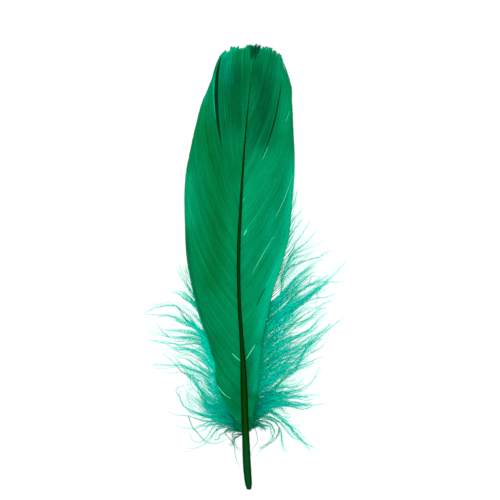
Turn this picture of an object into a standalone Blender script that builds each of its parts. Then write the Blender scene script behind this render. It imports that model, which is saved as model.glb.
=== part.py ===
"""Goose quill feather, dyed green, lying on a surface with its hollow side down.

The quill end lies towards -Y and the tip of the vane towards +Y. The shaft arches a little off
the surface, each vane slopes from the shaft down to its margin, and the down spreads flat round
the lower half. Lengths below are in millimetres: a station is a distance along the feather from
the quill end, and an offset is a distance across it, to the right of the quill end.
"""

import math

import bpy
import numpy as np

MM = 0.001
GAP = 0.3  # left between neighbouring pieces

# The shaft: the bare hollow calamus, then the solid rachis that carries the vanes.
SHAFT_END = 153.6
SHAFT_SIDES = 16
SHAFT_RINGS = 56
CALAMUS_END = 24.0
ARCH = 4.2  # how far the middle of the shaft is lifted
GROOVE_DEPTH = 0.3  # of the rachis's underside, as a share of its radius
MOUTH_RADIUS = 0.55  # the small hole at the quill end
MOUTH_DEPTH = 1.2
END_SLANT = 0.35  # the quill end is worn off at a slant
# (station, offset) of the shaft's middle, and (station, radius)
SHAFT_BEND = [(0, -0.2), (6, -0.75), (20, -1.4), (47, -2.4), (68, -3.7), (84, -3.9), (104, -3.0)]
SHAFT_BEND += [(129, -1.3), (154, 1.1)]
SHAFT_RADIUS = [(0, 0.85), (1.2, 1.15), (5, 1.4), (11, 1.45), (21, 1.3), (38, 1.2), (50, 0.85), (90, 0.62)]
SHAFT_RADIUS += [(129, 0.3), (154, 0.16)]

# The vanes: thin sheets whose rows run the way the barbs do, from the shaft to the margin.
VANE_ROWS = 46
VANE_COLUMNS = 11
VANE_BASE = 22.0
VANE_THICKNESS_ROOT = 0.45
VANE_THICKNESS_MARGIN = 0.25
ATTACHED_ABOVE = 0.2  # where a barb leaves the shaft, as a share of its radius above the middle
# Barbs whose tips draw the margin: (station of the root, station and offset of the tip, bow).
# A bow of 0 is a straight barb, and with 1 it arrives along the shaft's direction.
LEFT_BARBS = [
    (22, 25, -4.5, 0.5), (23.8, 30, -8.8, 0.6), (27, 39, -12.4, 0.7), (33, 53.5, -15.1, 0.72),
    (36, 61, -17.8, 0.75), (41, 71, -20.4, 0.78), (46.7, 83, -22.6, 0.82), (53.6, 97, -23.3, 0.93),
    (61.7, 109, -23.3, 1.0), (75, 123, -21.1, 1.0), (93, 138, -17.5, 1.0), (105, 148, -13.3, 0.95),
    (117, 155.2, -10.8, 0.87), (131, 158.2, -6.6, 0.75), (136, 157.9, -4.4, 0.72),
    (143, 159.4, -1.2, 0.68), (153.3, 160, 2.7, 0.6),
]
RIGHT_BARBS = [
    (22, 27, 1.6, 0.6), (25.8, 37.3, 3.6, 0.7), (29, 46, 4.6, 0.72), (34.4, 57.5, 5.2, 0.7),
    (39.3, 68, 7.8, 0.6), (44, 78, 10.2, 0.6), (50, 88, 13.6, 0.7), (59.6, 103.5, 15.4, 0.9),
    (66, 114, 16.1, 1.0), (82, 129, 15.8, 1.0), (97, 139.5, 15.2, 1.0), (106, 146, 14.8, 0.95),
    (112, 151.4, 13.0, 0.9), (119, 155.5, 11.9, 0.85), (131, 158.2, 8.2, 0.75),
    (144, 159.2, 4.8, 0.68), (153.3, 158.7, 3.3, 0.6),
]

# The down: one flat-bottomed puff a side, whose lobes reach the tips of the longest wisps.
DOWN_COLUMNS = 7
DOWN_TIP_THICKNESS = 0.5
DOWN_PUFF = [(16, 1.5), (26, 3.0), (50, 2.6), (80, 0.9), (112, 0.3)]  # (station, extra thickness)
# The lobes and the hollows between them: (station of the root, station and offset of the tip).
LEFT_LOBES = [
    (19, 9.6, -4.6), (20, 16, -10), (21.5, 16.5, -15.7), (24, 13.9, -23.6), (26, 20, -22.5),
    (28, 22.9, -28.6), (30, 26, -26), (32.5, 28.7, -30.2), (35.5, 33, -25), (38.5, 36.9, -26.1),
    (42, 40, -30), (46, 44.5, -35.1), (50, 48, -30.5), (54, 52, -31.7), (58, 57.1, -36.6),
    (64, 63.6, -37.6), (68, 67, -31.5), (72, 71.5, -28.3), (77, 76, -25.5), (82, 80, -26),
    (87, 87.5, -24.0),
]
RIGHT_LOBES = [
    (19, 10.6, 1.8), (20.5, 16, 6), (22.5, 12.1, 12.8), (24.5, 18, 13.5), (27, 13.2, 25.7),
    (30, 23, 16), (32.5, 27, 18), (35, 30.5, 27.2), (39, 37, 22), (43, 43.4, 25.4), (47, 47, 26.6),
    (52, 53, 24.5), (56.5, 58.9, 29.3), (60, 61.4, 34), (64, 66, 28.5), (68, 70, 31.1),
    (72.5, 75, 30.8), (77, 79, 27), (82.5, 84, 34.4), (87, 88.5, 28.2), (93, 95.6, 22.3),
    (101, 102.1, 19.4), (110, 112, 16.9),
]


def through(knots, at):
    """A smooth curve through (position, value) knots, read at the given positions."""
    x, y = np.array(knots, float).T
    slope = np.gradient(y, x)
    at = np.asarray(at, float)
    i = np.clip(np.searchsorted(x, at) - 1, 0, len(x) - 2)
    width = x[i + 1] - x[i]
    t = (at - x[i]) / width
    return (
        (2 * t**3 - 3 * t**2 + 1) * y[i]
        + (t**3 - 2 * t**2 + t) * width * slope[i]
        + (3 * t**2 - 2 * t**3) * y[i + 1]
        + (t**3 - t**2) * width * slope[i + 1]
    )


def shaft_radius(station):
    return through(SHAFT_RADIUS, station)


def shaft_offset(station):
    return through(SHAFT_BEND, station)


def shaft_height(station):
    """The height of the shaft's middle: it lies on the surface at both ends and arches between."""
    return shaft_radius(station) + ARCH * np.sin(np.pi * np.asarray(station) / SHAFT_END)


def mesh_object(name, points, faces, colour, roughness):
    """A named object from points in millimetres, with a material of its own."""
    mesh = bpy.data.meshes.new(name)
    mesh.from_pydata([tuple(p) for p in np.asarray(points) * MM], [], faces)
    mesh.update()
    material = bpy.data.materials.new(name)
    material.use_nodes = True
    shader = material.node_tree.nodes["Principled BSDF"]
    shader.inputs["Base Color"].default_value = (*colour, 1.0)
    shader.inputs["Roughness"].default_value = roughness
    shader.inputs["Metallic"].default_value = 0.0
    mesh.materials.append(material)
    obj = bpy.data.objects.new(name, mesh)
    bpy.context.scene.collection.objects.link(obj)
    return obj


def shaft_section(station):
    """One ring of the shaft: round on the calamus, squarer and grooved beneath on the rachis."""
    grown = float(np.clip((station - CALAMUS_END) / 20, 0, 1))
    power = 2 / (2 + 0.8 * grown)
    radius = float(shaft_radius(station))
    ring = []
    for k in range(SHAFT_SIDES):
        angle = 2 * math.pi * k / SHAFT_SIDES
        across = math.copysign(abs(math.cos(angle)) ** power, math.cos(angle))
        up = math.copysign(abs(math.sin(angle)) ** power, math.sin(angle))
        if abs(angle - 1.5 * math.pi) < 0.01:
            up += GROOVE_DEPTH * grown
        ring.append((across * radius, up * radius))
    return ring


def rings_to_faces(rings, sides):
    faces = []
    for r in range(rings - 1):
        for k in range(sides):
            a, b = r * sides + k, r * sides + (k + 1) % sides
            faces.append((a + sides, b + sides, b, a))
    return faces


def quill_shaft():
    """Calamus and rachis in one tapering piece, with the small mouth at the quill end."""
    along = np.linspace(0, 1, SHAFT_RINGS) ** 1.2 * SHAFT_END
    points = []
    for depth, share in ((MOUTH_DEPTH, 0.5), (0.1, 1.0)):
        for k in range(SHAFT_SIDES):
            angle = 2 * math.pi * k / SHAFT_SIDES
            mouth = MOUTH_RADIUS * share
            height = float(shaft_height(0)) + mouth * math.sin(angle)
            points.append((mouth * math.cos(angle), depth, height))
    for station in along:
        centre = float(shaft_offset(station)), float(shaft_height(station))
        for across, up in shaft_section(station):
            slant = END_SLANT * up if station == 0 else 0.0
            points.append((centre[0] + across, station - slant, centre[1] + up))
    rings = len(along) + 2
    faces = rings_to_faces(rings, SHAFT_SIDES)
    faces.append(tuple(range(SHAFT_SIDES)))
    last = (rings - 1) * SHAFT_SIDES
    faces.append(tuple(last + k for k in reversed(range(SHAFT_SIDES))))
    return mesh_object("quill_shaft", points, faces, (0.01, 0.06, 0.012), 0.35)


def columns_of(knots, at):
    """Smooth curves through every further column of the knots, against their first column."""
    first = [k[0] for k in knots]
    return [through(list(zip(first, column)), at) for column in list(zip(*knots))[1:]]


def barb_row(root, tip, bow, columns):
    """Points along one barb from its root to its tip, both (offset, station, height)."""
    t = np.linspace(0, 1, columns)
    offset_pull = root[0] + bow * (tip[0] - root[0])
    station_pull = (root[1] + tip[1]) / 2
    offset = (1 - t) ** 2 * root[0] + 2 * t * (1 - t) * offset_pull + t**2 * tip[0]
    station = (1 - t) ** 2 * root[1] + 2 * t * (1 - t) * station_pull + t**2 * tip[1]
    across = (offset - root[0]) / (tip[0] - root[0])
    return np.stack([offset, station, root[2] * (1 - across**2)], axis=1), across


def sheet(name, lower, upper, facing, colour, roughness):
    """A closed solid between two grids of points, lower and upper, with walls all round."""
    rows, columns = lower.shape[:2]
    points = np.concatenate([lower.reshape(-1, 3), upper.reshape(-1, 3)])
    lift = rows * columns
    faces = []
    for i in range(rows - 1):
        for j in range(columns - 1):
            a, b = i * columns + j, i * columns + j + 1
            c, d = b + columns, a + columns
            faces += [(a, b, c, d), (lift + d, lift + c, lift + b, lift + a)]
    edge = [j for j in range(columns)]
    edge += [i * columns + columns - 1 for i in range(1, rows)]
    edge += [(rows - 1) * columns + j for j in range(columns - 2, -1, -1)]
    edge += [i * columns for i in range(rows - 2, 0, -1)]
    for k, a in enumerate(edge):
        b = edge[(k + 1) % len(edge)]
        faces.append((b, a, lift + a, lift + b))
    if facing > 0:
        faces = [tuple(reversed(f)) for f in faces]
    return mesh_object(name, points, faces, colour, roughness)


def vane_rows(side, barbs):
    """Every barb row of one vane, as arrays of points and of the share of the way across."""
    roots = np.linspace(VANE_BASE, SHAFT_END - GAP, VANE_ROWS)
    tip_stations, tip_offsets, bows = columns_of(barbs, roots)
    radius = shaft_radius(roots)
    root_offsets = shaft_offset(roots) + side * (radius + GAP)
    root_heights = shaft_height(roots) + ATTACHED_ABOVE * radius
    rows = []
    for i in range(VANE_ROWS):
        root = root_offsets[i], roots[i], root_heights[i]
        tip = tip_offsets[i], tip_stations[i]
        rows.append(barb_row(root, tip, bows[i], VANE_COLUMNS))
    return np.array([r[0] for r in rows]), np.array([r[1] for r in rows])


def vane(name, side, barbs):
    middle, across = vane_rows(side, barbs)
    thickness = VANE_THICKNESS_ROOT + (VANE_THICKNESS_MARGIN - VANE_THICKNESS_ROOT) * across
    lower, upper = middle.copy(), middle.copy()
    lower[..., 2] = np.maximum(0, middle[..., 2] - thickness)
    upper[..., 2] = lower[..., 2] + thickness
    return sheet(name, lower, upper, side, (0.0, 0.24, 0.08), 0.6)


def down_roots(side, barbs, stations):
    """Where the down starts: on the shaft below the vane, then just outside the vane's margin."""
    margin = [(tip, offset) for _, tip, offset, _ in barbs]
    beside_vane = through(margin, np.maximum(stations, margin[0][0]))
    beside_shaft = shaft_offset(stations) + side * shaft_radius(stations)
    edge = np.where(stations < VANE_BASE - 1, beside_shaft, beside_vane)
    return side * np.maximum(side * edge, side * beside_shaft) + side * 2 * GAP


def down(name, side, barbs, lobes):
    """A puff of down from the shaft and the vane's margin out to its lobes, flat beneath."""
    corners = np.array(lobes, float)
    halfway = np.arange(0, len(lobes) - 0.5, 0.5)
    root_stations, tip_stations, tip_offsets = (
        np.interp(halfway, range(len(lobes)), corners[:, c]) for c in range(3)
    )
    root_offsets = down_roots(side, barbs, root_stations)
    t = np.linspace(0, 1, DOWN_COLUMNS)
    lower = np.zeros((len(halfway), DOWN_COLUMNS, 3))
    lower[..., 0] = root_offsets[:, None] * (1 - t) + tip_offsets[:, None] * t
    lower[..., 1] = root_stations[:, None] * (1 - t) + tip_stations[:, None] * t
    upper = lower.copy()
    puff = through(DOWN_PUFF, root_stations)
    upper[..., 2] = DOWN_TIP_THICKNESS + puff[:, None] * (1 - t) ** 1.3
    return sheet(name, lower, upper, side, (0.02, 0.5, 0.28), 0.9)


def centre_on_origin(objects):
    """Moves the points so that the box of the whole feather is centred over the origin, on Z = 0."""
    corners = np.array([v.co[:] for obj in objects for v in obj.data.vertices])
    low, high = corners.min(axis=0), corners.max(axis=0)
    shift = ((low[0] + high[0]) / 2, (low[1] + high[1]) / 2, low[2])
    for obj in objects:
        for vertex in obj.data.vertices:
            vertex.co = [c - s for c, s in zip(vertex.co, shift)]


def main():
    for obj in list(bpy.data.objects):
        bpy.data.objects.remove(obj)
    centre_on_origin(
        [
            quill_shaft(),
            vane("vane_left", -1, LEFT_BARBS),
            vane("vane_right", 1, RIGHT_BARBS),
            down("down_left", -1, LEFT_BARBS, LEFT_LOBES),
            down("down_right", 1, RIGHT_BARBS, RIGHT_LOBES),
        ]
    )


main()
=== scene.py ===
"""Looks of the green-dyed goose quill feather: quill, vanes of single barbs, and loose down."""

import math

import bpy
import numpy as np
from bpy.props import FloatProperty, FloatVectorProperty, IntProperty, PointerProperty
from bpy.types import Operator, Panel, PropertyGroup
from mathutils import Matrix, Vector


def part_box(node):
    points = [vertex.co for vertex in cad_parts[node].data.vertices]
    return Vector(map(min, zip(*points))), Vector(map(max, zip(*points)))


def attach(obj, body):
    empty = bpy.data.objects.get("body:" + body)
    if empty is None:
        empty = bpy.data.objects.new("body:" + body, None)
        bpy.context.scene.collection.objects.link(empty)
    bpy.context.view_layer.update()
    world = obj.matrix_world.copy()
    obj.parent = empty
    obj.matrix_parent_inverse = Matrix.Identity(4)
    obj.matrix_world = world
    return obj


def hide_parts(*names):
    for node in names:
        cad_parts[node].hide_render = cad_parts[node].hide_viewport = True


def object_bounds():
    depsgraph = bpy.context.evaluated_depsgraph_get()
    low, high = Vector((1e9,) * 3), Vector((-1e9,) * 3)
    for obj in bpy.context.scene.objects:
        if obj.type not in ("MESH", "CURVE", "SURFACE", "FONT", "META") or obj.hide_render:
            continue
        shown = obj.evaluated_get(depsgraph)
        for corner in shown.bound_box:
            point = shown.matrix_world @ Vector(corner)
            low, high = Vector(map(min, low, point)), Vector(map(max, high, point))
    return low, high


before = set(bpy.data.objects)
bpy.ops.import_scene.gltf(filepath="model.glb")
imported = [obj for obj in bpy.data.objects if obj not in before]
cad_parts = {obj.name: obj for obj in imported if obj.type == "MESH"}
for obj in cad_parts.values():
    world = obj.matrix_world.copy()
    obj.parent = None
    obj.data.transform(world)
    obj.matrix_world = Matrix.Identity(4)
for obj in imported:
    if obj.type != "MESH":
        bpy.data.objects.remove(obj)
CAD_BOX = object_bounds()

bl_info = {
    "name": "Goose Quill Feather",
    "version": (1, 0, 0),
    "blender": (4, 5, 0),
    "location": "View3D > Sidebar > Feather",
    "description": "Builds a green-dyed goose quill feather on its packed frame",
    "category": "Object",
}

MM = 0.001
BAKE_MAP = "OFBake"  # a strip of this map per strand, so that each strand's colour has a place of its own
STRAND_KEYS = ("thick", "lean", "fluff", "along", "strip")  # what the guide lines carry

# In millimetres. A station is the distance from the quill end, an offset the distance to the right.
SHAFT_END = 153.6
CALAMUS_END = 24.0
ARCH = 4.2  # how high the middle of the shaft's bow stands above its ends
END_SLANT = 0.35  # the quill end is worn off at a slant
SHAFT_BEND = [
    (0, -0.2), (6, -0.75), (20, -1.4), (47, -2.4), (68, -3.7), (84, -3.9), (104, -3.0),
    (129, -1.3), (154, 1.1),
]
SHAFT_RADIUS = [
    (0, 0.85), (1.2, 1.15), (5, 1.4), (11, 1.45), (21, 1.3), (38, 1.2), (50, 0.85), (90, 0.62),
    (129, 0.3), (154, 0.16),
]
LEFTMOST = 37.6  # how far the frame's left side lies to the left of offset 0
END_STATION = -0.3  # the station of the quill end's lowest rim

VANE_BASE = 22.0
VANE_END = SHAFT_END - 0.3
ROUND_TIP = 156.0  # above this station the margin turns into the rounded tip
DENSE_BELOW = 32.0  # loose barbs that start lower show all the way from the shaft
LOWEST = 0.12  # the least height of a strand's middle
BARB_POINTS = 22
FAN_POINTS = 60
BARBULE_PALENESS = 0.65  # how far barbules turn from their barb's colour towards their paler one, partly painted light let through them

# The camera stands over this point, in millimetres from the frame's origin.
CAMERA_RIGHT, CAMERA_FORWARD = 1.78, 6.05
SENSOR = 36.0
# In metres: the floor lies just under the feather, so that the two never share a plane.
FLOOR_HALF = 1.6
FLOOR_DROP = 0.00003

# Barbs of each vane, from the lowest up, with those between them blended: (root station, tip
# station, tip offset, how far they bow towards the margin, how far up the bow lies).
LEFT_BARBS = [
    (22, 25, -4.5, 0.5, 0.5), (23.8, 30, -8.8, 0.6, 0.5), (27, 39, -12.4, 0.7, 0.5),
    (33, 53.5, -15.1, 0.72, 0.5), (36, 61, -17.8, 0.75, 0.5), (41, 71, -20.4, 0.78, 0.5),
    (46.7, 83, -22.6, 0.82, 0.5), (53.6, 97, -23.3, 0.93, 0.5), (61.7, 109, -23.3, 1.0, 0.5),
    (75, 123, -21.1, 1.03, 0.5), (83, 131.4, -19.2, 1.12, 0.52), (89, 140, -16.7, 1.3, 0.58),
    (93, 149, -12.9, 1.7, 0.66), (95.5, 155.2, -10.8, 1.95, 0.72), (97.5, 156.8, -9.6, 2.15, 0.73),
    (105, 158.5, -6.5, 2.2, 0.7), (117, 158.9, -4.3, 2.0, 0.62), (131, 159.6, -1.2, 1.1, 0.55),
    (153.3, 160, 2.7, 0.6, 0.5),
]
RIGHT_BARBS = [
    (22, 27, 1.6, 0.6, 0.5), (25.8, 37.3, 3.6, 0.7, 0.5), (29, 46, 4.6, 0.72, 0.5),
    (34.4, 57.5, 5.2, 0.7, 0.5), (39.3, 68, 7.8, 0.6, 0.5), (44, 78, 10.2, 0.6, 0.5),
    (50, 88, 13.6, 0.7, 0.5), (59.6, 103.5, 15.4, 0.9, 0.5), (66, 114, 16.1, 1.0, 0.5),
    (82, 129, 15.8, 1.0, 0.5), (95, 139.5, 15.3, 1.0, 0.5), (101.5, 146, 14.8, 0.98, 0.46),
    (104.5, 151.4, 13.2, 0.95, 0.42), (106.5, 154.2, 12.1, 0.92, 0.4), (112, 156, 11.2, 0.9, 0.42),
    (119, 157.3, 9.8, 0.85, 0.45), (131, 158.4, 7.6, 0.78, 0.5), (144, 159.2, 4.8, 0.68, 0.5),
    (153.3, 158.9, 3.0, 0.6, 0.5),
]
# Barbs at the tip that lie across the vanes: (points from the root to the tip, width of the fan).
LEFT_TIP = ([(0.7, 153.4), (0.8, 156), (1.3, 159.3)], 1.7)
RIGHT_TIP = ([(1.9, 154.4), (2.5, 157), (3.3, 160.2)], 2.0)

# Where neighbouring barbs have come apart: (root station, share of the barb where the gap starts
# and ends, its width).
LEFT_SPLITS = [(97.5, 0.3, 0.99, 1.75)]
RIGHT_SPLITS = [(106.5, 0.24, 0.9, 0.72)]
# Single barbs that lie on a vane, pale and white ones with a painted highlight and dark ones in painted
# shade: (colour, width, points).
LEFT_STRAYS = [
    ("white", 0.26, [(-3.2, 46.1), (-4.6, 47.2), (-6.1, 48.8)]),
    ("white", 0.24, [(-6.9, 32.6), (-9.4, 34.4), (-11.4, 37)]),
    ("pale", 0.22, [(-10.2, 33), (-11.8, 33.8), (-13.4, 35.2)]),
]
RIGHT_STRAYS = [
    ("white", 0.26, [(-1.2, 46.8), (0.6, 49.6), (2.1, 52)]),
    ("dark", 0.2, [(2.1, 51.9), (3.6, 55.2), (5.5, 59.1)]),
    ("dark", 0.32, [(2.3, 65.8), (3.8, 69), (5.7, 72.5)]),
    ("pale", 0.24, [(0.9, 77.2), (4.4, 83.6), (8.5, 90.6)]),
    ("pale", 0.24, [(9.4, 97.4), (12.8, 105), (15.5, 112.5)]),
    ("pale", 0.2, [(4.6, 118.2), (5.6, 120.4), (6.6, 123)]),
    ("white", 0.34, [(-2.1, 91.2), (-1.6, 92), (-0.9, 93.3)]),
    ("pale", 0.22, [(-2.3, 103.2), (-2, 104), (-1.4, 104.9)]),
    ("pale", 0.16, [(13, 132), (13.8, 134), (14.4, 136)]),
]
# Lighter and darker patches of the vanes, painted light and shade where their bowed surface faces towards
# or away
# from the light, with shifts towards teal: (points of its middle line, half width, change of brightness,
# change towards teal).
LEFT_PAINTED_SHADING_AND_TINT = [
    ([(-15.5, 129), (-12.4, 117), (-11.4, 100), (-12, 86), (-13.5, 74)], 3.4, -0.24, -0.6),
    ([(-3.5, 149), (-6, 141), (-5.6, 133)], 5.4, -0.42, -0.2),
    ([(-8.6, 155), (-7.6, 147)], 2.8, -0.12, 0.56),
    ([(-9.4, 156.4), (-6.4, 158.4), (-1.6, 159.4)], 0.9, 0.3, 0.6),
    ([(-16.6, 140), (-15, 146)], 1.6, 0.05, 0.4),
    ([(-12.9, 149), (-13, 141), (-12.2, 133)], 0.35, 0.5, 0.6),
    ([(-3.5, 118), (-5, 114)], 3.0, -0.12, -0.4),
    ([(-5, 108), (-6.5, 82), (-5.6, 54)], 2.6, 0.08, 0.0),
    ([(-21.5, 112), (-21.6, 96)], 2.4, 0.12, 0.3),
    ([(-12.5, 54), (-11, 50)], 3.4, -0.16, 0.0),
    ([(-4.6, 34), (-4.2, 28)], 3.4, -0.26, -0.2),
]
RIGHT_PAINTED_SHADING_AND_TINT = [
    ([(4, 118), (4, 90), (4, 66)], 9.0, 0.12, 0.12),
    ([(3.2, 150), (5.4, 139), (4.6, 126)], 4.4, -0.42, -0.1),
    ([(10, 152), (11.5, 149)], 2.4, 0.0, 0.2),
    ([(13, 140), (12.4, 130)], 1.6, 0.05, 0.15),
    ([(-1.4, 112), (-1.2, 92), (-1, 80)], 2.0, 0.08, 0.1),
    ([(8.6, 98), (7.4, 86)], 2.2, 0.0, 0.3),
    ([(-1.4, 48), (-0.4, 34)], 1.8, -0.26, 0.0),
    ([(3, 50), (2.6, 42), (2, 36)], 1.6, 0.05, 0.6),
    ([(4, 158.6), (9, 157.6), (12.4, 153.6)], 0.8, 0.25, 0.5),
]

# Loose barbs in fans, from the lowest root up: (root station, how many there are beside other
# rows, points out to the tip). Strands between two rows run between them.
LEFT_FAN = [
    (19.6, 0.05, [(-3.4, 19.2), (-5.6, 16.6), (-7.6, 12.6)]),
    (20, 0.25, [(-4.6, 20.4), (-8.6, 18.6), (-11.5, 14)]),
    (20.4, 1.2, [(-5, 21.6), (-9, 21), (-13.5, 17.2)]),
    (21, 2.4, [(-6, 23), (-13, 24.3), (-21.5, 21.5)]),
    (22, 3.4, [(-8, 25), (-15.9, 26.6), (-23.4, 29.8), (-25.4, 35)]),
    (24, 4.2, [(-9, 28), (-14.5, 30.6), (-19, 37), (-24, 44.2)]),
    (27, 3.6, [(-9.5, 33), (-15, 38.6), (-22, 43.6), (-29, 46)]),
    (30, 2.0, [(-10, 38), (-16, 45.4), (-25.8, 49.4), (-35, 53.4)]),
    (33, 1.3, [(-11, 42), (-17.7, 50.6), (-27, 52), (-36, 53.8)]),
    (36, 1.1, [(-12, 46.5), (-18, 54), (-27, 56), (-36, 57.2)]),
    (39, 1.0, [(-13, 50), (-18.6, 56.8), (-28, 61), (-37.4, 62)]),
    (41, 0.9, [(-13.5, 52), (-19, 58.4), (-26.8, 65), (-36.6, 64.4)]),
    (46, 0.8, [(-15, 60), (-21.2, 67), (-25.6, 70.4), (-28.5, 71.4)]),
    (49.5, 1.8, [(-17, 65), (-21.8, 70), (-25.5, 73.6)]),
    (52, 1.5, [(-18.5, 68.6), (-22, 72), (-26, 79)]),
    (55, 1.0, [(-20, 73), (-22.4, 77), (-25, 83)]),
    (59, 0.6, [(-21, 78), (-22.7, 83), (-24, 87)]),
]
RIGHT_FAN = [
    (20.4, 0.2, [(1.6, 21.4), (3.2, 19.4), (3, 15)]),
    (21, 0.6, [(3.5, 24), (7.4, 23), (9, 20.6), (9.5, 17)]),
    (22.5, 1.0, [(3.5, 26), (6.8, 27.2), (11, 25), (16.5, 20)]),
    (24, 1.6, [(4, 28), (9, 29.4), (14.5, 27)]),
    (25.5, 1.8, [(4, 29.5), (9.6, 31), (17.5, 30), (25, 30.6)]),
    (27.5, 1.9, [(5, 32), (10.8, 33.4), (19.5, 34), (25.5, 33.4)]),
    (29.5, 1.9, [(5.5, 34), (12.6, 36), (20, 39), (25, 43)]),
    (32, 1.9, [(7, 39), (12, 42.6), (18.5, 45.4), (26, 47)]),
    (35, 1.7, [(8, 43), (14, 47), (20, 50), (28, 55.5)]),
    (38, 1.7, [(8, 46.5), (15, 51), (22, 54.6), (30.5, 59)]),
    (41, 1.7, [(8, 50), (14.5, 54.6), (22, 58.4), (28.5, 63.5)]),
    (44, 1.6, [(8, 54), (15, 59.5), (23, 64.5), (30.5, 68)]),
    (47, 1.6, [(9, 58.5), (16.5, 64), (23, 68), (30.5, 70.6)]),
    (50, 1.5, [(9.5, 61), (17, 66.5), (24, 71.4), (31, 75.5)]),
    (53, 1.3, [(10.5, 64), (16.6, 70), (24.5, 75.4), (31, 79)]),
    (57, 1.1, [(11.5, 69), (18, 76), (26.5, 82.4)]),
    (60, 2.2, [(12, 73), (19.7, 81), (29.5, 86.4)]),
    (63, 2.4, [(13, 77.5), (20.4, 84.4), (27.8, 90)]),
    (66, 2.3, [(14, 82), (19.4, 88.4), (25, 94.4)]),
    (69, 2.2, [(14.4, 85.5), (18.5, 91), (22.4, 96.8)]),
    (72.5, 1.9, [(14.4, 89), (17.2, 94.3), (20, 99.6)]),
    (77, 1.5, [(14.8, 93.5), (16.7, 98), (18.8, 102.4)]),
    (83, 1.0, [(15.4, 99.4), (16.7, 104), (17.5, 108)]),
    (90, 0.4, [(15.9, 106), (16.6, 110), (17, 113.6)]),
]
# Locks that stand out of the fans: (strands, width of the lock, points from its root to its tip).
LEFT_LOCKS = [
    (5, 0.5, [(-9, 27), (-12.2, 28.6), (-15.9, 31.7), (-18.4, 36.1), (-21.5, 40.4), (-26.5, 46.9)]),
    (4, 0.4, [(-11, 28.6), (-14, 29.2), (-17.5, 32.3), (-18.7, 36.7), (-22.1, 43.5)]),
    (2, 0.3, [(-9, 24.8), (-12.8, 25.5), (-17.7, 26.7), (-20.8, 29.2), (-22.1, 32.3), (-20.2, 37.9)]),
    (3, 0.3, [(-7, 23), (-11.2, 23.9), (-15.9, 26.4), (-20.2, 27.7), (-23.7, 29.8), (-26, 36.8)]),
    (1, 0.2, [(-23.7, 29.8), (-26, 36.1), (-23.6, 37), (-21.5, 37.8)]),
    (2, 0.3, [(-12, 24), (-18.5, 24.9), (-22.1, 26.1), (-26.8, 26.9), (-30.2, 28.3)]),
    (2, 0.2, [(-9, 24), (-14, 24.3), (-17.4, 22.4), (-20.8, 21.8), (-28.9, 23)]),
    (2, 0.3, [(-22.1, 26.1), (-20.5, 22.4), (-18.4, 19.6), (-15.9, 17.1), (-12, 16.4), (-7.8, 18.1)]),
    (2, 0.3, [(-8, 24.4), (-12.8, 22.7), (-14.7, 19.6), (-17.7, 16.8), (-20, 17), (-21.8, 21.2)]),
    (2, 0.3, [(-8, 23.4), (-12.8, 20.2), (-15.3, 16.8), (-20.2, 14.3), (-23.7, 13.7)]),
    (3, 0.9, [(-5, 22.4), (-7.8, 22.4), (-11.2, 21.2), (-12.8, 18.7), (-13.4, 16.8)]),
    (2, 0.4, [(-6, 22), (-9.1, 20.5), (-6.6, 17.4), (-4.7, 15.3), (-3.2, 13.4)]),
    (2, 0.4, [(-4, 21), (-6.3, 20.2), (-5, 16.5), (-3.5, 14.3)]),
    (1, 0.2, [(-6.4, 17.4), (-5.7, 15.6), (-5, 12.2), (-3.2, 7.5)]),
    (2, 0.3, [(-12, 42), (-15.9, 45.1), (-20.2, 47.2), (-25.8, 49.4), (-30.5, 51.9), (-36.1, 53.9)]),
    (2, 0.2, [(-20.4, 40.6), (-22.7, 41.3), (-27.4, 45.4), (-31.4, 48.8)]),
    (4, 1.0, [(-14, 40), (-20.2, 42.9), (-24.6, 44.1), (-31.4, 44.4), (-35.1, 44.4)]),
    (1, 0.2, [(-18, 38.6), (-21.5, 40.4), (-24.6, 41.6), (-28.3, 41.8), (-31.7, 41.5)]),
    (4, 0.4, [(-14, 53), (-18.7, 57.7), (-23, 61), (-26.8, 65.8), (-31.9, 65.5), (-38, 63.4)]),
    (3, 0.4, [(-15, 54.6), (-19.2, 58.5), (-25.3, 64.8), (-28.5, 66.2), (-34.9, 66)]),
    (2, 0.3, [(-14, 51), (-18.5, 56.7), (-24.3, 59.5), (-28, 61.5), (-31.8, 62.5), (-38, 62.3)]),
    (3, 0.5, [(-14, 50), (-18, 54.9), (-26.8, 57), (-31.9, 58), (-34.9, 58.8)]),
    (4, 0.7, [(-13, 47), (-17.7, 53.4), (-25.5, 54.6), (-29.8, 55), (-36.4, 56.7)]),
    (1, 0.2, [(-28.6, 54.6), (-31.9, 57.2), (-33.9, 59.7)]),
    (3, 0.5, [(-13, 46), (-17.7, 51.9), (-25.3, 51.9), (-30.6, 52.8), (-36.4, 53.6)]),
    (3, 0.4, [(-16, 60), (-21.2, 67), (-23.8, 69), (-26, 70.6), (-28.5, 71.2)]),
    (2, 0.4, [(-18, 66), (-22, 71.4), (-24.5, 75.4), (-26.8, 79.4)]),
    (2, 0.3, [(-19, 68), (-21.7, 72.4), (-24.3, 78.4), (-25.7, 82.7)]),
]
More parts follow.
